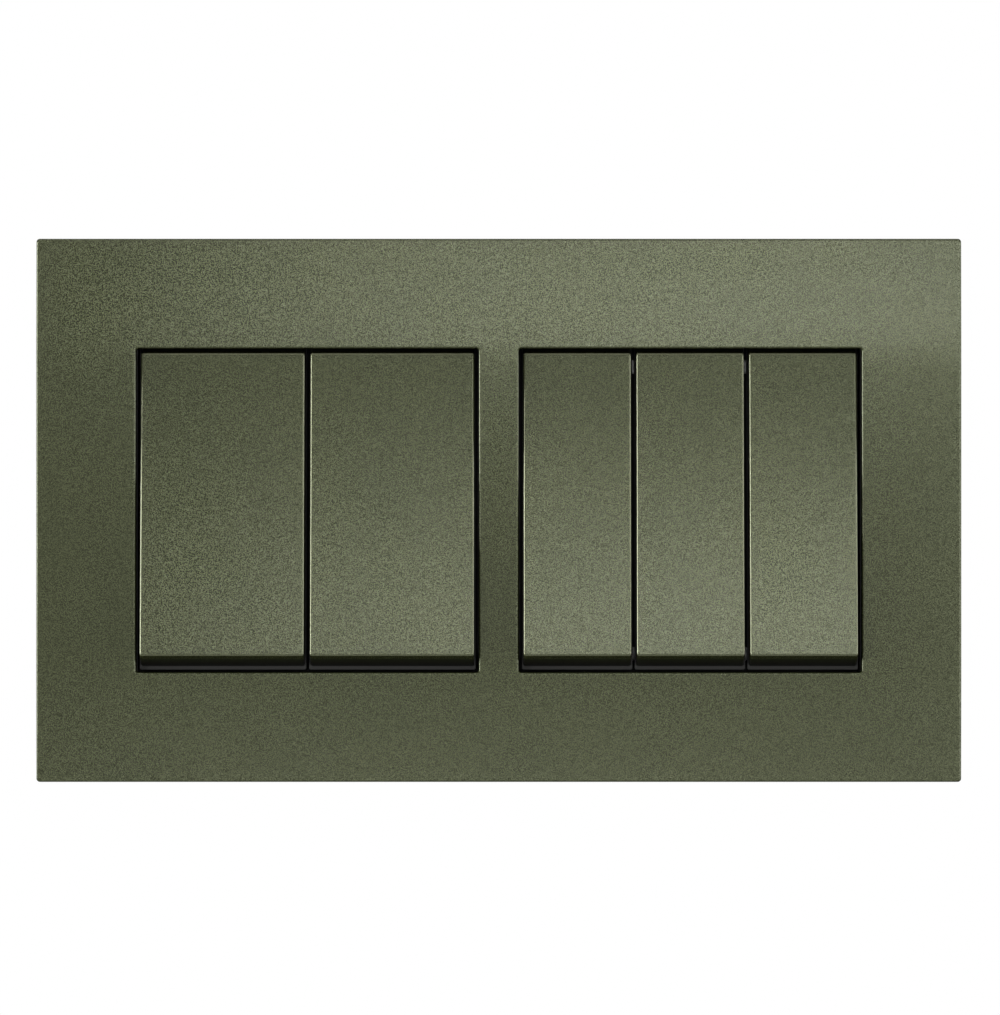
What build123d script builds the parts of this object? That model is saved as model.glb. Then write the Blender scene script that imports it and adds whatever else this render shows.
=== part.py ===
from build123d import *
import os
from math import cos, hypot, radians, sin, sqrt, tan

# A five-gang wall switch on a double plate: two wide rockers on the left, three narrow ones on the right.
# +X is right and +Z is up as seen from the room, and the face looks along -Y.
# The origin is at the plate's centre, on the wall. "Front" is the height in front of the wall, in mm,
# and is negative behind it.

# Cover plate
plate_width = 146.4
plate_height = 86.0
plate_front = 8.6
plate_skin = 2.0
plate_wall = 1.8
plate_corner = 0.55
plate_edge = 0.32
band_slope = 1.2  # degrees that the bands above and below the windows fall away
band_ease = 6.0  # length of the soft bend between the middle of the face and each band

# Windows in the cover plate
window_width = 54.3
window_height = 51.3
window_spacing = 60.6
window_corner = 0.45
window_edge = 0.3

# Rockers
rocker_tilt = 4.6  # degrees either side of level, the lower end standing out at rest
pivot_depth = 3.3  # behind the wall
face_proud = 0.5  # of a level rocker above the plate's face
face_inset = 1.7  # from the window's edge to the end of the face
side_gap = 0.75  # from the window's edge to the first rocker
pair_gap = 0.90  # between the two wide rockers
trio_gap = 0.82  # between the three narrow rockers
end_draft = 18.7  # degrees
rocker_wall = 1.3
rocker_corner = 0.36
rocker_edge = 0.32
flange_drop = 1.9  # below the inner face of the plate's skin
flange_thickness = 1.0
flange_step = 0.22
flange_corner = 0.3
sweep_gap = 0.33  # between the turning flange and the edge of the skin
rib_thickness = 1.0
rib_depth = 1.6
rib_spacing = 28.0

# Dolly, the lever that each rocker clips on to
dolly_width = 11.0
neck_length = 8.0
hub_radius = 5.0
pin_radius = 1.5
pin_reach = 6.5
pin_clearance = 0.05
barrel_radius = 3.4
barrel_depth = 8.6
bore_radius = 2.05
bore_rise = 2.0
socket_gap = 0.1
socket_wall = 1.0
socket_depth = 2.3

# Plunger and its spring
plunger_clearance = 0.05
plunger_top = 4.6
plunger_tip = 12.0
tip_radius = 1.5
tip_neck = 0.3
spring_wire = 0.4
spring_radius = 1.5
spring_turns = 4

# See-saw contact
contact_tilt = 12.0
contact_width = 6.0
contact_reach = 8.3
contact_sheet = 1.0
contact_corner = 1.0
tip_clearance = 0.1
ridge_radius = 0.5
ridge_clearance = 0.06
button_offset = 6.5
button_sphere = 3.0
button_height = 0.9
button_clearance = 0.05

# Terminals
strip_thickness = 0.8
strip_width = 1.6
pad_length = 3.8
foot_length = 2.8  # of the plate that carries the ridge
fixed_button_radius = 1.7
fixed_button_height = 0.45
block_width = 4.6
block_length = 8.0
block_height = 7.5
block_offset = 3.1
wire_radius = 1.5
wire_depth = 6.0
wire_inset = 5.3  # from the block's outer end to the wire hole
end_clearance = 0.1

# Terminal screws
screw_radius = 1.4
screw_clearance = 0.05
screw_head_radius = 2.0
screw_head_height = 1.8
screw_slot = 0.6
screw_slot_depth = 0.8
access_radius = 2.3

# Bases, one behind each window
base_inset = 1.7
base_wall = 2.4
base_floor = 2.0
base_corner = 1.0
cavity_width = 11.6
wire_entry_radius = 1.7
divider_thickness = 0.8
divider_height = 8.0
divider_length = 8.6
guide_gap = 0.2
guide_thickness = 2.4
guide_depth = 5.4
pocket_wall = 1.5
pocket_length = 36.0
pocket_front = 8.0  # behind the wall
stake_radius = 0.75
stake_clearance = 0.05
stake_head_radius = 1.1
stake_head_height = 0.5
pair_stake = 22.5

# Carriers, the plates that hold the bases
carrier_sheet = 2.4
carrier_gap = 0.59
carrier_clearance = 0.3
carrier_corner = 0.8
opening_height = 13.0
nib_clearance = 0.05
hook_sheet = 1.0
hook_gap = 0.2
hook_width = 6.0
hook_spacing = 24.0
hook_barb = 0.7
hook_play = 0.1
hook_lip = 0.8
hook_nose = 0.2

# Mounting frame
frame_clearance = 1.6
frame_front = 3.8
frame_sheet = 1.8
frame_rim = 1.5
frame_corner = 2.0
frame_rib = 1.2
frame_rib_inner = 15.0
frame_rib_outer = 45.0
side_rib_inner = 14.0
side_rib_outer = 24.0
aperture_gap = 1.0
aperture_side_gap = 0.55
collar = 1.0
ledge_reach = 1.5
side_ledge_reach = 1.2
ledge_thickness = 1.2
ledge_wall = 0.7  # from the side ledges forward to the frame, clear of the fixing holes
fixing_spacing = 120.6
fixing_radius = 2.1
fixing_boss_radius = 4.0

# Snap hooks and ribs of the cover plate
cover_hook_inset = 7.0  # from the plate's upper and lower edges
cover_hook_sheet = 1.2
cover_hook_width = 7.0
cover_hook_spacing = 52.0
cover_hook_barb = 0.8
cover_hook_lip = 0.4
cover_hook_tip = 0.5
cover_hook_gap = 0.3
cover_rib = 1.0
cover_rib_gap = 0.5  # between the plate's ribs and the frame's collars
bridge_rib = 1.6

# Sizes that follow from those above
skin_back = plate_front - plate_skin
face_rise = plate_front + pivot_depth + face_proud
face_length = window_height - 2 * face_inset
flange_front = skin_back + pivot_depth - flange_drop
flange_back = flange_front - flange_thickness
flange_reach = hypot(window_height / 2, skin_back + pivot_depth) - sweep_gap
flange_half = sqrt(flange_reach**2 - flange_front**2)
rockers_span = window_width - 2 * side_gap
wide_rocker = (rockers_span - pair_gap) / 2
narrow_rocker = (rockers_span - 2 * trio_gap) / 3
neck_top = face_rise - rocker_wall

lowest_flange = (
    flange_back * cos(radians(rocker_tilt))
    - flange_half * sin(radians(rocker_tilt))
    - pivot_depth
)
carrier_front = lowest_flange - carrier_gap
carrier_back = carrier_front - carrier_sheet
aperture_width = rockers_span + 2 * flange_step + 2 * aperture_side_gap
aperture_half = flange_half + aperture_gap
carrier_width = aperture_width - 2 * carrier_clearance
carrier_height = 2 * (aperture_half - carrier_clearance)
ledge_inner = aperture_half - ledge_reach
ledge_back = carrier_back - ledge_thickness

base_width = carrier_width - 2 * base_inset
base_half = ledge_inner - 2 * hook_gap - hook_sheet
cavity_half = base_half - base_wall
stake_place = base_half - base_wall / 2 + stake_clearance

contact_axis = -pivot_depth - plunger_tip - tip_clearance - contact_sheet
contact_lean = radians(contact_tilt)
button_centre_depth = button_sphere - button_height
lowest_button = (
    button_offset * sin(contact_lean)
    - button_centre_depth * cos(contact_lean)
    + button_sphere
)
fixed_button_front = contact_axis - lowest_button - button_clearance
strip_front = fixed_button_front - fixed_button_height
floor_front = strip_front - strip_thickness
base_back = floor_front - base_floor
block_end = cavity_half - end_clearance
block_start = block_end - block_length
wire_place = block_end - wire_inset
block_middle = floor_front + block_height / 2

cover_hook_place = plate_height / 2 - cover_hook_inset
cover_rib_start = aperture_half + collar + cover_rib_gap
frame_width = plate_width - 2 * (plate_wall + frame_clearance)
frame_height = plate_height - 2 * (plate_wall + frame_clearance)
frame_back = frame_front - frame_sheet

left_module = -window_spacing / 2
right_module = window_spacing / 2
wide_pitch = wide_rocker + pair_gap
narrow_pitch = narrow_rocker + trio_gap
pair_places = [left_module + side * wide_pitch / 2 for side in (-1, 1)]
trio_places = [right_module + step * narrow_pitch for step in (-1, 0, 1)]
gangs = [(x, wide_rocker) for x in pair_places] + [(x, narrow_rocker) for x in trio_places]

os.makedirs("parts", exist_ok=True)


def at_front(front):
    """The plane that lies this far in front of the wall: x right, y up, its normal towards the room."""
    return Plane.XZ.offset(front)


def leaning(x, front, degrees):
    """A plane turned about a level axis through (x, front), its lower end leaning out of the wall."""
    lean = radians(degrees)
    return Plane(origin=(x, -front, 0), x_dir=(1, 0, 0), z_dir=(0, -cos(lean), sin(lean)))


def seen_from_side(plane):
    """The plane across the same axis: x runs up the piece, y out of it, and its normal is +X."""
    return Plane(origin=plane.origin, x_dir=plane.y_dir, z_dir=plane.x_dir)


def seen_from_below(plane):
    """The lengthwise plane through the same axis: x is +X and y runs out of the piece."""
    return Plane(origin=plane.origin, x_dir=plane.x_dir, z_dir=-plane.y_dir)


def write(part, name):
    part.label = name
    export_step(part, f"parts/{name}.step")


def cover_plate():
    """The front plate: a shallow tray with two windows, snap hooks and ribs behind."""
    slope = radians(band_slope)
    half_width = plate_width / 2
    half_height = plate_height / 2
    bend = window_height / 2
    ease = band_ease / 2
    band_front = plate_front - (half_height - bend) * tan(slope)
    with BuildPart() as cover:
        with BuildSketch(Plane.YZ):
            with BuildLine():
                Line((-plate_front, bend - ease), (-plate_front, ease - bend))
                for side in (1, -1):
                    start = (-plate_front, side * (bend - ease))
                    end = (ease * sin(slope) - plate_front, side * (bend + ease * cos(slope)))
                    TangentArc(start, end, tangent=(0, side))
                    Line(end, (-band_front, side * half_height))
                    Line((-band_front, side * half_height), (0, side * half_height))
                Line((0, half_height), (0, -half_height))
            make_face()
        extrude(amount=half_width, both=True)
        fillet(cover.edges().filter_by(Axis.Y), plate_corner)
        with BuildSketch(at_front(0)):
            Rectangle(plate_width - 2 * plate_wall, plate_height - 2 * plate_wall)
        extrude(amount=skin_back, mode=Mode.SUBTRACT)
        with BuildSketch(at_front(skin_back)):
            with Locations((left_module, 0), (right_module, 0)):
                RectangleRounded(window_width, window_height, window_corner)
        extrude(amount=2 * plate_skin, mode=Mode.SUBTRACT)

        def is_on_rim(edge, margin):
            middle = edge.center()
            near_side = abs(middle.X) > half_width - margin
            near_end = abs(middle.Z) > half_height - margin
            return -middle.Y > skin_back + plate_skin / 2 and (near_side or near_end)

        rim = cover.edges().filter_by(lambda edge: is_on_rim(edge, plate_corner))
        fillet(rim, plate_edge)
        mouths = cover.edges().filter_by(
            lambda edge: is_on_window(edge.center()) and -edge.center().Y > plate_front - 0.1
        )
        fillet(mouths, window_edge)

        with BuildSketch(Plane.YZ):
            with BuildLine():
                Polyline(
                    (-skin_back, cover_hook_place - cover_hook_sheet / 2),
                    (-skin_back, cover_hook_place + cover_hook_sheet / 2),
                    (-(frame_back - hook_play), cover_hook_place + cover_hook_sheet / 2),
                    (-(frame_back - hook_play), cover_hook_place + cover_hook_sheet / 2 + cover_hook_barb),
                    (
                        -(frame_back - hook_play - cover_hook_lip),
                        cover_hook_place + cover_hook_sheet / 2 + cover_hook_barb,
                    ),
                    (-cover_hook_tip, cover_hook_place + cover_hook_sheet / 2),
                    (-cover_hook_tip, cover_hook_place - cover_hook_sheet / 2),
                    close=True,
                )
            make_face()
            mirror(about=Plane.XZ)
        hook = extrude(amount=cover_hook_width / 2, both=True, mode=Mode.PRIVATE)
        for x in (-cover_hook_spacing, 0, cover_hook_spacing):
            add(Pos(x, 0, 0) * hook)

        rib_length = plate_height / 2 - plate_wall - cover_rib_start
        with BuildSketch(at_front(frame_front)):
            for side in (-1, 1):
                for x in (-frame_rib_outer, -frame_rib_inner, frame_rib_inner, frame_rib_outer):
                    with Locations((x, side * (cover_rib_start + rib_length / 2))):
                        Rectangle(cover_rib, rib_length)
            Rectangle(bridge_rib, window_height)
        extrude(amount=skin_back - frame_front)
    write(cover.part, "cover_plate")


def is_on_window(point):
    """Whether a point lies on the outline of either window, as seen from the room."""
    across = abs(abs(point.X) - window_spacing / 2)
    up = abs(point.Z)
    inside = across < window_width / 2 + 0.01 and up < window_height / 2 + 0.01
    on_side = across > window_width / 2 - window_corner
    on_end = up > window_height / 2 - window_corner
    return inside and (on_side or on_end)


def mounting_frame():
    """The tray behind the cover plate that is screwed to the wall box and holds both carriers."""
    with BuildPart() as frame:
        with BuildSketch(at_front(0)):
            RectangleRounded(frame_width, frame_height, frame_corner)
            Rectangle(frame_width - 2 * frame_rim, frame_height - 2 * frame_rim, mode=Mode.SUBTRACT)
            for side in (-1, 1):
                for x in (-frame_rib_outer, -frame_rib_inner, frame_rib_inner, frame_rib_outer):
                    with Locations((x, side * (aperture_half + frame_height / 2) / 2)):
                        Rectangle(frame_rib, frame_height / 2 - aperture_half)
                for z in (-side_rib_outer, -side_rib_inner, side_rib_inner, side_rib_outer):
                    outer_edge = window_spacing / 2 + aperture_width / 2
                    with Locations((side * (outer_edge + frame_width / 2) / 2, z)):
                        Rectangle(frame_width / 2 - outer_edge, frame_rib)
            with Locations((left_module, 0), (right_module, 0)):
                Rectangle(aperture_width + 2 * collar, 2 * (aperture_half + collar))
            with Locations((-fixing_spacing / 2, 0), (fixing_spacing / 2, 0)):
                Circle(fixing_boss_radius)
        extrude(amount=frame_front)
        with BuildSketch(at_front(frame_back)):
            RectangleRounded(frame_width, frame_height, frame_corner)
        extrude(amount=frame_sheet)
        with BuildSketch(at_front(ledge_back)):
            with Locations((left_module, 0), (right_module, 0)):
                Rectangle(aperture_width + 2 * ledge_wall, 2 * (aperture_half + collar))
        extrude(amount=-ledge_back)
        with BuildSketch(at_front(carrier_back)):
            with Locations((left_module, 0), (right_module, 0)):
                Rectangle(aperture_width, 2 * aperture_half)
        extrude(amount=frame_front - carrier_back, mode=Mode.SUBTRACT)
        with BuildSketch(at_front(ledge_back)):
            with Locations((left_module, 0), (right_module, 0)):
                Rectangle(aperture_width - 2 * side_ledge_reach, 2 * ledge_inner)
        extrude(amount=carrier_back - ledge_back, mode=Mode.SUBTRACT)
        slot_height = cover_hook_sheet + cover_hook_gap + hook_gap
        slot_middle = cover_hook_place + (cover_hook_gap - hook_gap) / 2
        with BuildSketch(at_front(0)):
            for x in (-cover_hook_spacing, 0, cover_hook_spacing):
                with Locations((x, slot_middle), (x, -slot_middle)):
                    Rectangle(cover_hook_width + 2 * cover_hook_gap, slot_height)
            with Locations((-fixing_spacing / 2, 0), (fixing_spacing / 2, 0)):
                Circle(fixing_radius)
        extrude(amount=frame_front, mode=Mode.SUBTRACT)
    write(frame.part, "mounting_frame")


def carrier(name, module, places, stake_xs):
    """The black plate in a frame aperture: it shuts the front of its base and clips behind the ledges."""
    with BuildPart() as plate:
        with BuildSketch(at_front(carrier_back)):
            with Locations((module, 0)):
                RectangleRounded(carrier_width, carrier_height, carrier_corner)
            with Locations(*[(x, 0) for x in places]):
                Rectangle(cavity_width, opening_height, mode=Mode.SUBTRACT)
            with Locations(*[(x, z) for x in stake_xs for z in (-stake_place, stake_place)]):
                Circle(stake_radius + stake_clearance, mode=Mode.SUBTRACT)
        extrude(amount=carrier_sheet)

        # Nibs that keep each pin down in its slot
        nib_depth = pivot_depth - pin_radius - nib_clearance + carrier_back
        nib_reach = pin_reach - cavity_width / 2
        with BuildSketch(at_front(carrier_back)):
            for x in places:
                for side in (-1, 1):
                    with Locations((x + side * (cavity_width / 2 + nib_reach / 2), 0)):
                        Rectangle(nib_reach, 2 * (pin_radius - 2 * nib_clearance))
        extrude(amount=-nib_depth)

        stem = ledge_inner - hook_gap
        barb_front = ledge_back - hook_play
        with BuildSketch(Plane.YZ):
            with BuildLine():
                Polyline(
                    (-carrier_back, stem - hook_sheet),
                    (-carrier_back, stem),
                    (-barb_front, stem),
                    (-barb_front, stem + hook_barb),
                    (-barb_front + hook_lip / 2, stem + hook_barb),
                    (-barb_front + hook_lip + hook_nose, stem),
                    (-barb_front + hook_lip + hook_nose, stem - hook_sheet),
                    close=True,
                )
            make_face()
            mirror(about=Plane.XZ)
        hook = extrude(amount=hook_width / 2, both=True, mode=Mode.PRIVATE)
        for side in (-1, 1):
            add(Pos(module + side * hook_spacing / 2, 0, 0) * hook)
    write(plate.part, name)


def base(name, module, places, stake_xs):
    """The white moulding behind one window, with a chamber for each gang's mechanism."""
    terminals = [(block_offset, 1), (-block_offset, 1), (block_offset, -1)]
    pitch = places[1] - places[0]
    between = pitch - cavity_width - 2 * pocket_wall
    outer = base_width / 2 - (places[-1] - module) - cavity_width / 2 - 2 * pocket_wall
    with BuildPart() as moulding:
        with BuildSketch(at_front(base_back)):
            with Locations((module, 0)):
                RectangleRounded(base_width, 2 * base_half, base_corner)
        extrude(amount=carrier_back - base_back)
        with BuildSketch(at_front(floor_front)):
            with Locations(*[(x, 0) for x in places]):
                Rectangle(cavity_width, 2 * cavity_half)
        extrude(amount=carrier_back - floor_front, mode=Mode.SUBTRACT)

        # Pockets that keep the walls between the chambers thin, open at the back
        with BuildSketch(at_front(base_back)):
            for left, right in zip(places, places[1:]):
                with Locations(((left + right) / 2, 0)):
                    Rectangle(between, pocket_length)
            if outer > pocket_wall:
                middle = base_width / 2 - pocket_wall - outer / 2
                with Locations((module - middle, 0), (module + middle, 0)):
                    Rectangle(outer, pocket_length)
        extrude(amount=-pocket_front - base_back, mode=Mode.SUBTRACT)

        # Walls between the two upper terminals, and guides beside the see-saw contact
        with BuildSketch(at_front(floor_front)):
            with Locations(*[(x, cavity_half - divider_length / 2) for x in places]):
                Rectangle(divider_thickness, divider_length)
        extrude(amount=divider_height)
        guide_width = cavity_width / 2 - contact_width / 2 - guide_gap
        with BuildSketch(at_front(strip_front + strip_thickness)):
            for x in places:
                for side in (-1, 1):
                    with Locations((x + side * (cavity_width - guide_width) / 2, 0)):
                        Rectangle(guide_width, guide_thickness)
        extrude(amount=guide_depth)

        # Slots in which the dolly's pins turn
        with BuildSketch(Plane.YZ):
            slot_radius = pin_radius + pin_clearance
            with Locations((pivot_depth, 0)):
                Circle(slot_radius)
            with Locations(((pivot_depth - carrier_back) / 2, 0)):
                Rectangle(pivot_depth + carrier_back, 2 * slot_radius)
        slot = extrude(amount=pin_reach + end_clearance, both=True, mode=Mode.PRIVATE)
        for x in places:
            add(Pos(x, 0, 0) * slot, mode=Mode.SUBTRACT)

        # Ways in for the wires from behind, and for a screwdriver from the ends
        with BuildSketch(at_front(base_back)):
            with Locations(*[(x + dx, end * wire_place) for x in places for dx, end in terminals]):
                Circle(wire_entry_radius)
        extrude(amount=base_floor, mode=Mode.SUBTRACT)
        for end in (-1, 1):
            with BuildSketch(Plane.XY.offset(end * base_half)):
                ends = [(x + dx, -block_middle) for x in places for dx, side in terminals if side == end]
                with Locations(*ends):
                    Circle(access_radius)
            extrude(amount=-end * base_wall, mode=Mode.SUBTRACT)

        # Stakes melted over the front of the carrier
        stakes = [(x, z) for x in stake_xs for z in (-stake_place, stake_place)]
        with BuildSketch(at_front(carrier_back)):
            with Locations(*stakes):
                Circle(stake_radius)
        extrude(amount=carrier_sheet)
        with BuildSketch(at_front(carrier_front)):
            with Locations(*stakes):
                Circle(stake_head_radius)
        extrude(amount=stake_head_height)
        heads = moulding.edges().filter_by(GeomType.CIRCLE).group_by(Axis.Y)[0]
        chamfer(heads, stake_head_height / 2)
    write(moulding.part, name)


def rocker(name, x, width):
    """A hollow key: drafted ends, a base flange, ribs and a socket for the dolly."""
    plane = leaning(x, -pivot_depth, rocker_tilt)
    side = seen_from_side(plane)
    face_half = face_length / 2
    draft = tan(radians(end_draft))
    skirt_half = face_half + (face_rise - flange_back) * draft
    under = face_rise - rocker_wall
    with BuildPart() as key:
        with BuildSketch(side):
            with BuildLine():
                Polyline(
                    (-face_half, face_rise),
                    (face_half, face_rise),
                    (skirt_half, flange_back),
                    (-skirt_half, flange_back),
                    close=True,
                )
            make_face()
        extrude(amount=width / 2, both=True)
        corners = key.edges().filter_by(
            lambda edge: abs(edge.center().X - x) > width / 2 - 0.01
            and abs(plane.to_local_coords(edge.center()).Y) > face_half
            and edge.length < 2 * (face_rise - flange_back)
        )
        fillet(corners, rocker_corner)
        front = key.faces().sort_by(Axis(plane.origin, plane.z_dir))[-1]
        fillet(front.edges(), rocker_edge)
        with BuildSketch(plane.offset(flange_back)):
            RectangleRounded(width + 2 * flange_step, 2 * flange_half, flange_corner)
        extrude(amount=flange_thickness)
        with BuildSketch(side):
            with BuildLine():
                Polyline(
                    (rocker_wall - face_half - rocker_wall * draft, under),
                    (face_half - rocker_wall + rocker_wall * draft, under),
                    (skirt_half - rocker_wall, flange_back),
                    (rocker_wall - skirt_half, flange_back),
                    close=True,
                )
            make_face()
        extrude(amount=width / 2 - rocker_wall, both=True, mode=Mode.SUBTRACT)

        # Ribs under the face, and the socket round the dolly's neck
        with BuildSketch(plane.offset(under)):
            for end in (-1, 1):
                with Locations((0, end * rib_spacing / 2)):
                    Rectangle(width - 2 * rocker_wall, rib_thickness)
        extrude(amount=-rib_depth)
        socket_width = dolly_width + 2 * socket_gap
        socket_length = neck_length + 2 * socket_gap
        with BuildSketch(plane.offset(under)):
            Rectangle(socket_width + 2 * socket_wall, socket_length + 2 * socket_wall)
            Rectangle(socket_width, socket_length, mode=Mode.SUBTRACT)
        extrude(amount=-socket_depth)
    write(key.part, name)


def dolly(name, x):
    """The lever under a rocker: neck, hub with two pivot pins, and a barrel for spring and plunger."""
    plane = leaning(x, -pivot_depth, rocker_tilt)
    with BuildPart() as lever:
        with BuildSketch(seen_from_side(plane)):
            Circle(hub_radius)
            with Locations((0, neck_top / 2)):
                Rectangle(neck_length, neck_top)
        extrude(amount=dolly_width / 2, both=True)
        with BuildSketch(seen_from_side(plane)):
            Circle(pin_radius)
        extrude(amount=pin_reach, both=True)
        with BuildSketch(plane):
            Circle(barrel_radius)
        extrude(amount=-barrel_depth)
        with BuildSketch(plane.offset(-barrel_depth)):
            Circle(bore_radius)
        extrude(amount=barrel_depth + bore_rise, mode=Mode.SUBTRACT)
    write(lever.part, name)


def plunger(name, x):
    """The round-nosed plunger that rides on the see-saw contact."""
    plane = leaning(x, -pivot_depth, rocker_tilt)
    radius = bore_radius - plunger_clearance
    nose = plunger_tip - tip_radius
    with BuildPart() as rod:
        with BuildSketch(seen_from_below(plane)):
            with BuildLine():
                RadiusArc((0, -plunger_tip), (tip_radius, -nose), -tip_radius)
                Polyline(
                    (tip_radius, -nose),
                    (tip_radius, tip_neck - nose),
                    (radius, tip_neck - nose + radius - tip_radius),
                    (radius, -plunger_top),
                    (0, -plunger_top),
                    (0, -plunger_tip),
                )
            make_face()
        revolve(axis=Axis(plane.origin, plane.z_dir))
    write(rod.part, name)


def spring(name, x):
    """The coil spring between the end of the bore and the plunger."""
    plane = leaning(x, -pivot_depth, rocker_tilt)
    length = bore_rise + plunger_top - spring_wire
    start = plane.offset(-plunger_top + spring_wire / 2)
    with BuildPart() as coil:
        with BuildLine() as centre_line:
            Helix(length / spring_turns, length, spring_radius, start.origin, plane.z_dir)
        with BuildSketch(Plane(origin=centre_line.wire() @ 0, z_dir=centre_line.wire() % 0)):
            Rectangle(spring_wire * 0.8, spring_wire * 0.8)
        sweep(is_frenet=True)
    write(coil.part, name)


def contact_arm(name, x):
    """The see-saw contact: a copper bar that rocks on a ridge, a domed button at each end."""
    plane = leaning(x, contact_axis, -contact_tilt)
    dome = sqrt(button_sphere**2 - button_centre_depth**2)
    with BuildPart() as arm:
        with BuildSketch(plane):
            RectangleRounded(contact_width, 2 * contact_reach, contact_corner)
        extrude(amount=contact_sheet)
        with BuildSketch(seen_from_side(plane)):
            Circle(ridge_radius + ridge_clearance)
        extrude(amount=contact_width / 2, both=True, mode=Mode.SUBTRACT)
        for end in (-1, 1):
            middle = plane.from_local_coords(Vector(0, end * button_offset, 0))
            with BuildSketch(Plane(origin=middle, x_dir=plane.x_dir, z_dir=-plane.y_dir)):
                with BuildLine():
                    Line((0, 0), (dome, 0))
                    RadiusArc((dome, 0), (0, -button_height), button_sphere)
                    Line((0, -button_height), (0, 0))
                make_face()
            revolve(axis=Axis(middle, plane.z_dir))
    write(arm.part, name)


def terminal(name, x, pad, end, outer):
    """A brass terminal: a pad or post for the contact, a strip along the floor and a block for the wire.

    pad is the height of the button pad, or 0 for the post that carries the see-saw. end is 1 where the
    block lies at the top of the chamber and -1 at its foot. outer is the side, 1 or -1, of the block."""
    block_x = x + outer * block_offset
    strip_outer = block_offset + block_width / 2 - end_clearance
    strip_x = x + outer * (strip_outer - strip_width / 2)
    pad_half = pad_length / 2 if pad else foot_length / 2
    with BuildPart() as brass:
        with BuildSketch(at_front(floor_front)):
            with Locations((x, pad)):
                Rectangle(contact_width, 2 * pad_half)
            tab_width = strip_outer - contact_width / 2
            if pad * end <= 0:
                with Locations((x + outer * (contact_width / 2 + tab_width / 2), pad - end * pad_half / 2)):
                    Rectangle(tab_width, pad_half)
                low = pad - end * pad_half
                strip_place = strip_x
            else:
                low = pad
                strip_place = x + outer * (contact_width / 2 - strip_width / 2)
            high = end * (block_start + block_length / 2)
            with Locations((strip_place, (low + high) / 2)):
                Rectangle(strip_width, abs(high - low))
        extrude(amount=strip_thickness)
        with BuildSketch(at_front(floor_front)):
            with Locations((block_x, end * (block_start + block_end) / 2)):
                Rectangle(block_width, block_length)
        extrude(amount=block_height)
        if pad:
            with BuildSketch(at_front(strip_front)):
                with Locations((x, pad)):
                    Circle(fixed_button_radius)
            extrude(amount=fixed_button_height)
        else:
            with BuildSketch(Plane.YZ.offset(x)):
                with BuildLine():
                    Line((-contact_axis, -ridge_radius), (-strip_front, -ridge_radius))
                    Line((-strip_front, -ridge_radius), (-strip_front, ridge_radius))
                    Line((-strip_front, ridge_radius), (-contact_axis, ridge_radius))
                    ridge_top = (-contact_axis - ridge_radius, 0)
                    ThreePointArc((-contact_axis, ridge_radius), ridge_top, (-contact_axis, -ridge_radius))
                make_face()
            extrude(amount=contact_width / 2, both=True)
        with BuildSketch(at_front(floor_front)):
            with Locations((block_x, end * wire_place)):
                Circle(wire_radius)
        extrude(amount=wire_depth, mode=Mode.SUBTRACT)
        with BuildSketch(Plane.XY.offset(end * block_end)):
            with Locations((block_x, -block_middle)):
                Circle(screw_radius + screw_clearance)
        extrude(amount=-end * wire_inset, mode=Mode.SUBTRACT)
    write(brass.part, name)


def terminal_screws():
    """Three slotted screws a gang, each clamping a wire in its block."""
    tip = wire_place + wire_radius + screw_radius / 4
    seat = cavity_half + end_clearance
    with BuildPart() as screws:
        for x, _ in gangs:
            for outer, end in ((1, 1), (-1, 1), (1, -1)):
                centre = (x + outer * block_offset, -block_middle)
                with BuildSketch(Plane.XY.offset(end * tip)):
                    with Locations(centre):
                        Circle(screw_radius)
                extrude(amount=end * (seat - tip))
                with BuildSketch(Plane.XY.offset(end * seat)):
                    with Locations(centre):
                        Circle(screw_head_radius)
                extrude(amount=end * screw_head_height)
                with BuildSketch(Plane.XY.offset(end * (seat + screw_head_height))):
                    with Locations(centre):
                        Rectangle(2 * screw_head_radius, screw_slot)
                extrude(amount=-end * screw_slot_depth, mode=Mode.SUBTRACT)
    write(screws.part, "terminal_screws")


cover_plate()
mounting_frame()
pair_stakes = [left_module - pair_stake, left_module + pair_stake]
trio_stakes = [right_module - narrow_pitch / 2, right_module + narrow_pitch / 2]
for name, module, places, stake_xs in (
    ("two_gang", left_module, pair_places, pair_stakes),
    ("three_gang", right_module, trio_places, trio_stakes),
):
    carrier(f"{name}_carrier", module, places, stake_xs)
    base(f"{name}_base", module, places, stake_xs)
for number, (x, width) in enumerate(gangs, start=1):
    rocker(f"rocker_{number}", x, width)
    dolly(f"dolly_{number}", x)
    spring(f"spring_{number}", x)
    plunger(f"plunger_{number}", x)
    contact_arm(f"contact_arm_{number}", x)
    terminal(f"common_terminal_{number}", x, 0, -1, 1)
    terminal(f"l1_terminal_{number}", x, button_offset, 1, 1)
    terminal(f"l2_terminal_{number}", x, -button_offset, 1, -1)
terminal_screws()
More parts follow.
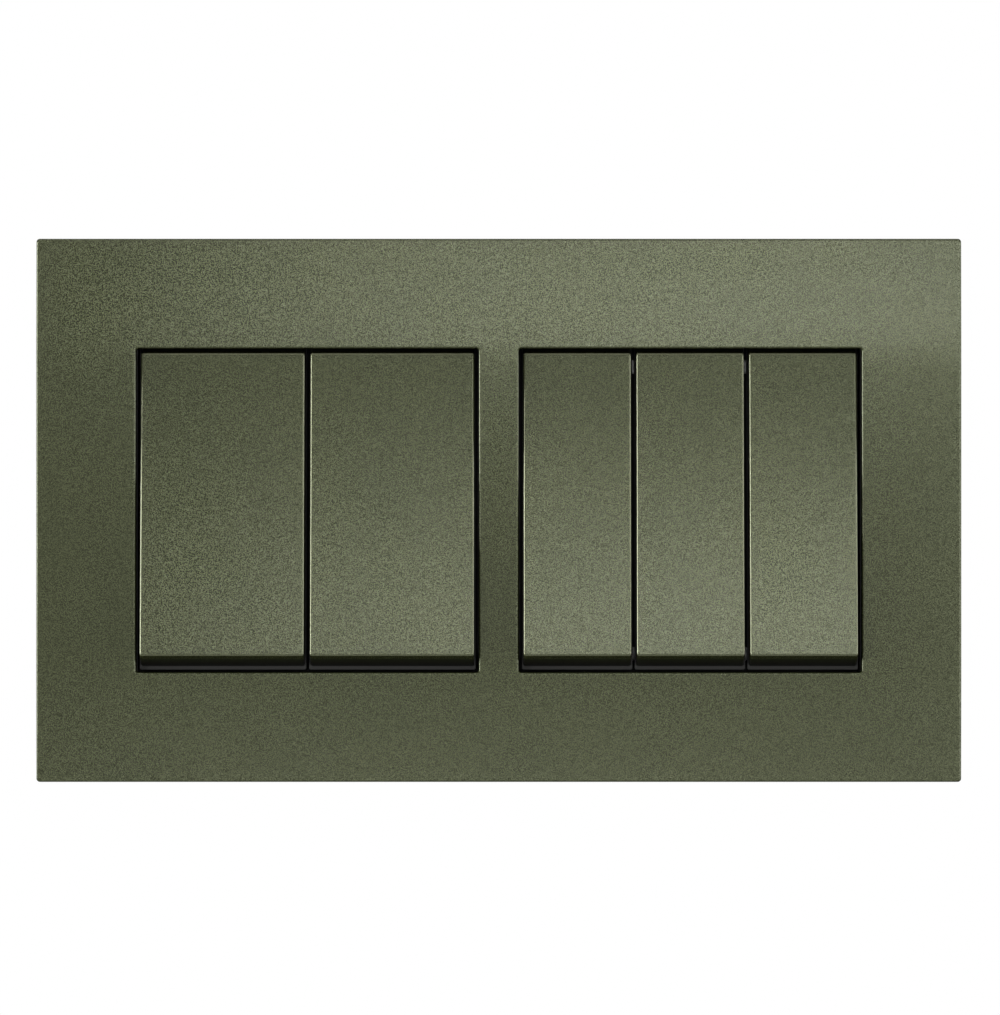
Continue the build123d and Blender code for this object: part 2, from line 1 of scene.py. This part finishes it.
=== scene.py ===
import math
import bpy
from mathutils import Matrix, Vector


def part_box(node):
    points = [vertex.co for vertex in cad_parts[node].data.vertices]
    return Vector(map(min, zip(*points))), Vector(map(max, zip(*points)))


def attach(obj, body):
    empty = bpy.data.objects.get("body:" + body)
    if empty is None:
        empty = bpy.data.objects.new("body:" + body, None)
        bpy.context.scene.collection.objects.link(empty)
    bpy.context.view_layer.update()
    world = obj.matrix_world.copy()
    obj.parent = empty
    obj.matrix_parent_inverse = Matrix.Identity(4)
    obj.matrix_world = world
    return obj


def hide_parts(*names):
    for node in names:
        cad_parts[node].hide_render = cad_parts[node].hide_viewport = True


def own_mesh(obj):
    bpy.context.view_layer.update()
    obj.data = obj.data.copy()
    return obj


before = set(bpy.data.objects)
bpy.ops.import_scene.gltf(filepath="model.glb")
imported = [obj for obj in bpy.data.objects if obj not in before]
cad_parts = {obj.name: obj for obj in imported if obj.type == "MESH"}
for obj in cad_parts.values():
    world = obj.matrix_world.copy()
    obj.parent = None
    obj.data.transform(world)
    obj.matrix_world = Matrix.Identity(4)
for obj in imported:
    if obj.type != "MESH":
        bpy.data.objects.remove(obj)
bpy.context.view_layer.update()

MM = 0.001

# The camera looks straight at the plate, a little above and to the right of its middle
PLATE_FRONT = 8.6 * MM
CAMERA_DISTANCE = 800 * MM
VIEW_HEIGHT = 160.56 * MM
VIEW_CENTRE_X = 0.19 * MM
VIEW_CENTRE_Z = 0.45 * MM
SENSOR = 36.0
NEAR_CLIP = 0.01

# Metal flakes in the paint: cells to a metre, how far they lean and their least and most roughness, then
# the metal share, clear coat and colour of the dullest flake and of the brightest
FLAKE_SCALE = 10000
FLAKE_LEAN = 0.05
FLAKE_ROUGHNESS = (0.15, 0.21)
METAL_SHARE = (0.68, 0.36)
CLEAR_COAT = (0.04, 0.36)
OLIVE_DARK = (0.015, 0.017, 0.0045)
OLIVE_LIGHT = (0.056, 0.066, 0.020)

# Faint clouding of the paint's colour, and the slight peel of its clear coat
CLOUD_SCALE = 70
CLOUD_RANGE = (0.32, 0.68)
CLOUD_TINT = (0.90, 0.92, 0.88)
COAT_ROUGHNESS = 0.16
PEEL_SCALE = 900
PEEL_DEPTH = 0.01 * MM
PEEL_STRENGTH = 0.08

# Painted highlights along the rockers' edges: how far round the surface turns before and after them, their
# colour, how strong the highlight is on the side edges and on the top one, and how far up the surface faces
# from one to the other
EDGE_TURN = (0.15, 0.40, 0.80, 0.95)
EDGE_HIGHLIGHT_COLOUR = (0.30, 0.31, 0.20, 1)
SIDE_EDGE_HIGHLIGHT = 0.19
TOP_EDGE_HIGHLIGHT = 1.0
FACES_UP = (0.12, 0.40)

# Down a rocker's key the spray thins to bare plastic, dullest at the flange, and the colour darkens to near
# black there as painted shade in the gaps and on the end faces
ROCKER_TILT = math.radians(4.6)
ROCKER_AXIS_DEPTH = 3.3 * MM
KEY_EDGE_HEIGHT = 12.0 * MM
FLANGE_HEIGHT = 8.0 * MM
SHADE_AND_SPRAY_FALL = 3.5
SHADED_BARE_PLASTIC = (0.003, 0.003, 0.002, 1)
FLANGE_ROUGHNESS = 0.75
SIDE_ROUGHNESS = 0.35
DULL_SHARE = 0.2

# Moulded plastic: spark-eroded texture and flow marks
SPARK_SCALE = 1800
SPARK_DEPTH = 0.02 * MM
FLOW_SCALE = 60
FLOW_RANGE = (0.3, 0.7)
PLASTIC_GLOSS_SPREAD = 0.06

# Worked metal: drawn or rolled grain, and tarnish
GRAIN_SCALE = 900
GRAIN_DEPTH = 0.01 * MM
GRAIN_RANGE = (0.3, 0.7)
TARNISH_SCALE = 250
TARNISH_RANGE = (0.3, 0.75)
METAL_GLOSS_SPREAD = 0.08
UPRIGHT_GRAIN = (1, 1, 0.1)

# How strongly the texture of plastic and the grain of metal show in the gloss
TEXTURE_STRENGTH = 0.3

# The springs, along each plunger's line from the rocker's axis
GANGS = range(1, 6)
SPRING_RADIUS = 1.5 * MM
SPRING_WIRE = 0.36 * MM
SPRING_TURNS = 4
SPRING_START = -4.4 * MM
SPRING_LENGTH = 6.2 * MM
WIRE_SIDES = 10
STEPS_IN_TURN = 28
SMOOTH_BELOW = math.radians(60)

# The floor lies well below the switch, which is fixed to a wall
FLOOR_Z = -0.60
FLOOR_SIZE = 1.2
FLOOR_COLOUR = (0.8, 0.8, 0.8, 1)
FLOOR_ROUGHNESS = 0.9
WORLD_LIGHT = (0.33, 0.33, 0.33, 1)
WHITE = (1, 1, 1, 1)

# Soft panels: name, place, size in metres and power in watts. The brow panels above the camera give the
# paint its sheen, brightest to the right, and the strips far round to the sides draw the lines on the edges
PANELS = (
    ("brow_left", (-0.08, -1.05, 0.118), (0.08, 0.04), 0.070),
    ("brow_middle", (0.005, -1.05, 0.118), (0.09, 0.04), 0.110),
    ("brow_right", (0.13, -1.05, 0.118), (0.16, 0.04), 0.232),
    ("foot_panel", (0.0, -1.0, -0.20), (0.3, 0.05), 0.22),
    ("top_panel", (0.0, -0.6, 0.7), (1.0, 0.2), 2.2),
    ("left_strip", (-0.95, -0.20, 0.06), (0.22, 0.34), 5.4),
    ("left_key", (-0.66, -0.60, 0.05), (0.10, 0.30), 2.4),
    ("right_strip", (0.95, -0.25, 0.05), (0.22, 0.34), 2.6),
    ("right_key", (0.36, -1.0, -0.06), (0.16, 0.7), 2.9),
)


def new_material(name):
    """A material with a principled shader, its node tree and the shader's node."""
    material = bpy.data.materials.new(name)
    material.use_nodes = True
    return material, material.node_tree, material.node_tree.nodes["Principled BSDF"]


def object_coordinates(tree):
    """Each point's place on the object, in metres."""
    return tree.nodes.new("ShaderNodeTexCoord").outputs["Object"]


def surface_normal(tree):
    """The way each point of the surface faces."""
    return tree.nodes.new("ShaderNodeNewGeometry").outputs["Normal"]


def feed(tree, socket, value):
    """Sets a socket to a number or colour, or links another socket to it."""
    if isinstance(value, bpy.types.NodeSocket):
        tree.links.new(value, socket)
    else:
        socket.default_value = value


def noise(tree, coordinates, scale, detail, roughness=0.5):
    """A noise texture whose cells are about 1 / scale metres."""
    node = tree.nodes.new("ShaderNodeTexNoise")
    node.inputs["Scale"].default_value = scale
    node.inputs["Detail"].default_value = detail
    node.inputs["Roughness"].default_value = roughness
    tree.links.new(coordinates, node.inputs["Vector"])
    return node.outputs["Fac"]


def ramp(tree, value, low, high, dark, light):
    """Colours from dark to light as the value goes from low to high."""
    node = tree.nodes.new("ShaderNodeValToRGB")
    node.color_ramp.elements[0].position = low
    node.color_ramp.elements[0].color = (*dark, 1)
    node.color_ramp.elements[1].position = high
    node.color_ramp.elements[1].color = (*light, 1)
    tree.links.new(value, node.inputs["Fac"])
    return node.outputs["Color"]


def spread(tree, value, low, high, out_low, out_high):
    """The value's range from low to high, stretched to another range."""
    node = tree.nodes.new("ShaderNodeMapRange")
    for socket, number in zip(("From Min", "From Max", "To Min", "To Max"), (low, high, out_low, out_high)):
        node.inputs[socket].default_value = number
    tree.links.new(value, node.inputs["Value"])
    return node.outputs["Result"]


def blend_colours(tree, kind, factor, first, second):
    """Two colours mixed; the factor and the colours are values or sockets."""
    node = tree.nodes.new("ShaderNodeMix")
    node.data_type = "RGBA"
    node.blend_type = kind
    for name, value in (("Factor", factor), ("A", first), ("B", second)):
        feed(tree, next(s for s in node.inputs if s.name == name and s.enabled), value)
    return next(s for s in node.outputs if s.enabled)


def blend_numbers(tree, factor, first, second):
    """Two numbers mixed."""
    node = tree.nodes.new("ShaderNodeMix")
    for name, value in (("Factor", factor), ("A", first), ("B", second)):
        feed(tree, node.inputs[name], value)
    return node.outputs["Result"]


def arithmetic(tree, operation, first, second):
    """One step of arithmetic with two numbers."""
    node = tree.nodes.new("ShaderNodeMath")
    node.operation = operation
    feed(tree, node.inputs[0], first)
    feed(tree, node.inputs[1], second)
    return node.outputs["Value"]


def vector_step(tree, operation, first, second=None):
    """The node of one step of vector arithmetic."""
    node = tree.nodes.new("ShaderNodeVectorMath")
    node.operation = operation
    feed(tree, node.inputs[0], first)
    if second is not None:
        feed(tree, node.inputs[1], second)
    return node


def bump(tree, height, depth, strength):
    """The surface's normal over a fine relief of this depth."""
    node = tree.nodes.new("ShaderNodeBump")
    node.inputs["Distance"].default_value = depth
    node.inputs["Strength"].default_value = strength
    tree.links.new(height, node.inputs["Height"])
    return node.outputs["Normal"]


def key_side(tree, coordinates):
    """1 at the edge of a rocker's key, 0 down at its flange, measured square to its face."""
    outward = (0, -math.cos(ROCKER_TILT), math.sin(ROCKER_TILT))
    height = vector_step(tree, "DOT_PRODUCT", coordinates, outward).outputs["Value"]
    axis = ROCKER_AXIS_DEPTH * math.cos(ROCKER_TILT)
    return spread(tree, height, FLANGE_HEIGHT - axis, KEY_EDGE_HEIGHT - axis, 0.0, 1.0)


def painted_edge_highlight(tree):
    """A painted highlight along a rocker's edge where the surface turns over it, 0 on the face and down the
    sides.
    """
    surface = surface_normal(tree)
    across = vector_step(tree, "MULTIPLY", surface, (1, 0, 1)).outputs["Vector"]
    turn = vector_step(tree, "LENGTH", across).outputs["Value"]
    begins = spread(tree, turn, EDGE_TURN[0], EDGE_TURN[1], 0.0, 1.0)
    ends = spread(tree, turn, EDGE_TURN[2], EDGE_TURN[3], 1.0, 0.0)
    upward = vector_step(tree, "DOT_PRODUCT", surface, (0, 0, 1)).outputs["Value"]
    # Painted highlight, stronger on the top edge than on the side edges
    highlight = spread(tree, upward, *FACES_UP, SIDE_EDGE_HIGHLIGHT, TOP_EDGE_HIGHLIGHT)
    return arithmetic(tree, "MULTIPLY", arithmetic(tree, "MULTIPLY", begins, ends), highlight)


def leaning_flakes(tree, flakes):
    """The surface's normal, turned a little at random from flake to flake."""
    tilt = vector_step(tree, "SUBTRACT", flakes.outputs["Color"], (0.5, 0.5, 0.5)).outputs["Vector"]
    lean = vector_step(tree, "SCALE", tilt)
    lean.inputs["Scale"].default_value = FLAKE_LEAN
    leaned = vector_step(tree, "ADD", surface_normal(tree), lean.outputs["Vector"]).outputs["Vector"]
    return vector_step(tree, "NORMALIZE", leaned).outputs["Vector"]


def flake_paint(name, painted_edges_and_shade=False):
    """Satin olive paint under a clear coat: metal flakes that lie at odd angles, and faint clouding."""
    material, tree, shader = new_material(name)
    coordinates = object_coordinates(tree)
    flakes = tree.nodes.new("ShaderNodeTexVoronoi")
    flakes.inputs["Scale"].default_value = FLAKE_SCALE
    tree.links.new(coordinates, flakes.inputs["Vector"])
    tone = tree.nodes.new("ShaderNodeSeparateColor")
    tree.links.new(flakes.outputs["Color"], tone.inputs["Color"])
    brightness = tone.outputs["Red"]
    clouds = noise(tree, coordinates, CLOUD_SCALE, 3.0, 0.55)
    peel = noise(tree, coordinates, PEEL_SCALE, 1.0)

    colour = ramp(tree, brightness, 0.0, 1.0, OLIVE_DARK, OLIVE_LIGHT)
    cloud_tint = ramp(tree, clouds, *CLOUD_RANGE, CLOUD_TINT, (1.0, 1.0, 1.0))
    colour = blend_colours(tree, "MULTIPLY", 1.0, colour, cloud_tint)
    roughness = spread(tree, tone.outputs["Green"], 0.0, 1.0, *FLAKE_ROUGHNESS)
    metal = spread(tree, brightness, 0.0, 1.0, *METAL_SHARE)
    coat = spread(tree, brightness, 0.0, 1.0, *CLEAR_COAT)
    # Rockers get painted highlights on their edges and painted shade down their sides
    if painted_edges_and_shade:
        # Painted highlight along the rockers' edges
        colour = blend_colours(tree, "MIX", painted_edge_highlight(tree), colour, EDGE_HIGHLIGHT_COLOUR)
        # Painted shade: darker down the key's sides and end faces to near black at the flange, where the
        # spray also thins
        side = key_side(tree, coordinates)
        spray_and_shade = arithmetic(tree, "POWER", side, SHADE_AND_SPRAY_FALL)
        colour = blend_colours(tree, "MIX", spray_and_shade, SHADED_BARE_PLASTIC, colour)
        bare = spread(tree, side, 0.0, DULL_SHARE, FLANGE_ROUGHNESS, SIDE_ROUGHNESS)
        roughness = blend_numbers(tree, spray_and_shade, bare, roughness)
        metal = arithmetic(tree, "MULTIPLY", metal, spray_and_shade)
        coat = arithmetic(tree, "MULTIPLY", coat, spray_and_shade)
    tree.links.new(colour, shader.inputs["Base Color"])
    tree.links.new(roughness, shader.inputs["Roughness"])
    tree.links.new(metal, shader.inputs["Metallic"])
    tree.links.new(coat, shader.inputs["Coat Weight"])
    shader.inputs["Coat Roughness"].default_value = COAT_ROUGHNESS
    tree.links.new(leaning_flakes(tree, flakes), shader.inputs["Normal"])
    tree.links.new(bump(tree, peel, PEEL_DEPTH, PEEL_STRENGTH), shader.inputs["Coat Normal"])
    return material


def moulded_plastic(name, dark, light, roughness, specular=0.5):
    """Moulded plastic with a fine spark-eroded texture, flow marks and uneven gloss."""
    material, tree, shader = new_material(name)
    coordinates = object_coordinates(tree)
    texture = noise(tree, coordinates, SPARK_SCALE, 2.0)
    flow = noise(tree, coordinates, FLOW_SCALE, 3.0)
    smoothest, roughest = roughness - PLASTIC_GLOSS_SPREAD, roughness + PLASTIC_GLOSS_SPREAD
    tree.links.new(ramp(tree, flow, *FLOW_RANGE, dark, light), shader.inputs["Base Color"])
    tree.links.new(spread(tree, flow, *FLOW_RANGE, smoothest, roughest), shader.inputs["Roughness"])
    tree.links.new(bump(tree, texture, SPARK_DEPTH, TEXTURE_STRENGTH), shader.inputs["Normal"])
    shader.inputs["Specular IOR Level"].default_value = specular
    return material


def worked_metal(name, dark, light, roughness, stretch=(1, 1, 1)):
    """Metal with a drawn or rolled grain that runs where stretch is small, and a light tarnish."""
    material, tree, shader = new_material(name)
    mapping = tree.nodes.new("ShaderNodeMapping")
    mapping.inputs["Scale"].default_value = stretch
    coordinates = object_coordinates(tree)
    tree.links.new(coordinates, mapping.inputs["Vector"])
    grain = noise(tree, mapping.outputs["Vector"], GRAIN_SCALE, 3.0, 0.6)
    tarnish = noise(tree, coordinates, TARNISH_SCALE, 3.0, 0.6)
    smoothest, roughest = roughness - METAL_GLOSS_SPREAD, roughness + METAL_GLOSS_SPREAD
    tree.links.new(ramp(tree, tarnish, *TARNISH_RANGE, light, dark), shader.inputs["Base Color"])
    shader.inputs["Metallic"].default_value = 1.0
    tree.links.new(spread(tree, grain, *GRAIN_RANGE, smoothest, roughest), shader.inputs["Roughness"])
    tree.links.new(bump(tree, grain, GRAIN_DEPTH, TEXTURE_STRENGTH), shader.inputs["Normal"])
    return material


def dress(material, *starts):
    """Gives a material to every node whose name starts with one of these words."""
    for name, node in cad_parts.items():
        if name.startswith(starts):
            node.data.materials.clear()
            node.data.materials.append(material)


def coil_spring(number, material):
    """A coil spring in place of the solid one, parented to its rocker's body empty."""
    low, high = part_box(f"plunger_{number}")
    axis = Vector((0, -math.cos(ROCKER_TILT), math.sin(ROCKER_TILT)))
    pivot = Vector(((low[0] + high[0]) / 2, ROCKER_AXIS_DEPTH, 0))

    # A ring of wire, wound upwards into turns
    bpy.ops.object.select_all(action="DESELECT")
    bpy.ops.mesh.primitive_circle_add(
        vertices=WIRE_SIDES,
        radius=SPRING_WIRE / 2,
        location=(SPRING_RADIUS, 0, 0),
        rotation=(math.pi / 2, 0, 0),
    )
    coil = bpy.context.object
    coil.name = f"coil_{number}"
    bpy.ops.object.transform_apply(location=True, rotation=True, scale=True)
    winding = coil.modifiers.new("winding", "SCREW")
    winding.screw_offset = SPRING_LENGTH / SPRING_TURNS
    winding.iterations = SPRING_TURNS
    winding.steps = winding.render_steps = STEPS_IN_TURN
    bpy.ops.object.modifier_apply(modifier="winding")

    # The wire's two ends are closed
    bpy.ops.object.mode_set(mode="EDIT")
    bpy.ops.mesh.select_all(action="SELECT")
    bpy.ops.mesh.fill_holes(sides=0)
    bpy.ops.mesh.normals_make_consistent(inside=False)
    bpy.ops.object.mode_set(mode="OBJECT")

    # It goes into its barrel, in line with the plunger
    coil.location = pivot + SPRING_START * axis
    coil.rotation_euler = (math.pi / 2 - ROCKER_TILT, 0, 0)
    bpy.ops.object.transform_apply(location=True, rotation=True, scale=True)
    bpy.ops.object.shade_smooth_by_angle(angle=SMOOTH_BELOW)
    coil.data.materials.append(material)

    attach(coil, f"rocker_{number}")
    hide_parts(f"spring_{number}")
    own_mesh(coil)


def white_world():
    """White where the camera, gloss or glass looks past the object, and a plain grey light elsewhere."""
    world = bpy.data.worlds.new("studio")
    world.use_nodes = True
    bpy.context.scene.world = world
    tree = world.node_tree
    path = tree.nodes.new("ShaderNodeLightPath").outputs
    seen = arithmetic(tree, "MAXIMUM", path["Is Camera Ray"], path["Is Glossy Ray"])
    seen = arithmetic(tree, "MAXIMUM", seen, path["Is Transmission Ray"])
    colour = blend_colours(tree, "MIX", seen, WORLD_LIGHT, WHITE)
    tree.links.new(colour, tree.nodes["Background"].inputs["Color"])


def pale_floor():
    """A plain pale floor that keeps the shadow of the switch."""
    bpy.ops.mesh.primitive_plane_add(size=FLOOR_SIZE, location=(0, 0, FLOOR_Z))
    floor = bpy.context.object
    floor.name = "floor"
    bpy.ops.object.transform_apply(location=True)
    material, _, shader = new_material("pale_floor")
    shader.inputs["Base Color"].default_value = FLOOR_COLOUR
    shader.inputs["Roughness"].default_value = FLOOR_ROUGHNESS
    floor.data.materials.append(material)


def panel(name, place, size, power):
    """A soft rectangular light that faces the middle of the plate."""
    data = bpy.data.lights.new(name, "AREA")
    data.shape = "RECTANGLE"
    data.size, data.size_y = size
    data.energy = power
    light = bpy.data.objects.new(name, data)
    bpy.context.collection.objects.link(light)
    light.location = place
    light.rotation_euler = (-Vector(place)).to_track_quat("-Z", "Y").to_euler()


def camera():
    """Looks level at the plate, with the whole view as high as the photograph's."""
    data = bpy.data.cameras.new("camera")
    data.sensor_width = SENSOR
    data.lens = SENSOR * CAMERA_DISTANCE / VIEW_HEIGHT
    data.clip_start = NEAR_CLIP
    view = bpy.data.objects.new("camera", data)
    bpy.context.collection.objects.link(view)
    view.location = (VIEW_CENTRE_X, -PLATE_FRONT - CAMERA_DISTANCE, VIEW_CENTRE_Z)
    view.rotation_euler = (math.radians(90), 0, 0)
    bpy.context.scene.camera = view


bpy.ops.object.select_all(action="DESELECT")

olive_plate_paint = flake_paint("olive_plate_paint")
olive_rocker_paint = flake_paint("olive_rocker_paint", painted_edges_and_shade=True)
black_carrier = moulded_plastic("black_carrier_plastic", (0.004,) * 3, (0.007,) * 3, 0.65, specular=0.2)
black_frame = moulded_plastic("black_frame_plastic", (0.010,) * 3, (0.016,) * 3, 0.50)
white_base = moulded_plastic("white_base_plastic", (0.66, 0.66, 0.63), (0.72, 0.72, 0.70), 0.35)
acetal = moulded_plastic("natural_acetal", (0.66, 0.66, 0.61), (0.72, 0.72, 0.68), 0.42)
spring_wire = worked_metal("spring_wire", (0.30, 0.29, 0.28), (0.46, 0.45, 0.44), 0.30)
copper = worked_metal("rolled_copper", (0.48, 0.20, 0.11), (0.72, 0.36, 0.22), 0.32, UPRIGHT_GRAIN)
brass = worked_metal("pressed_brass", (0.46, 0.32, 0.12), (0.66, 0.50, 0.22), 0.34, UPRIGHT_GRAIN)
zinc = worked_metal("zinc_plate", (0.42, 0.42, 0.43), (0.60, 0.60, 0.62), 0.32)

dress(olive_plate_paint, "cover_plate")
dress(olive_rocker_paint, "rocker_")
dress(black_carrier, "two_gang_carrier", "three_gang_carrier")
dress(black_frame, "mounting_frame")
dress(white_base, "two_gang_base", "three_gang_base")
dress(acetal, "dolly_", "plunger_")
dress(spring_wire, "spring_")
dress(copper, "contact_arm_")
dress(brass, "common_terminal", "l1_terminal", "l2_terminal")
dress(zinc, "terminal_screws")

for number in GANGS:
    coil_spring(number, spring_wire)
white_world()
pale_floor()
for name, place, size, power in PANELS:
    panel(name, place, size, power)
camera()
bpy.context.scene.view_settings.view_transform = "Standard"
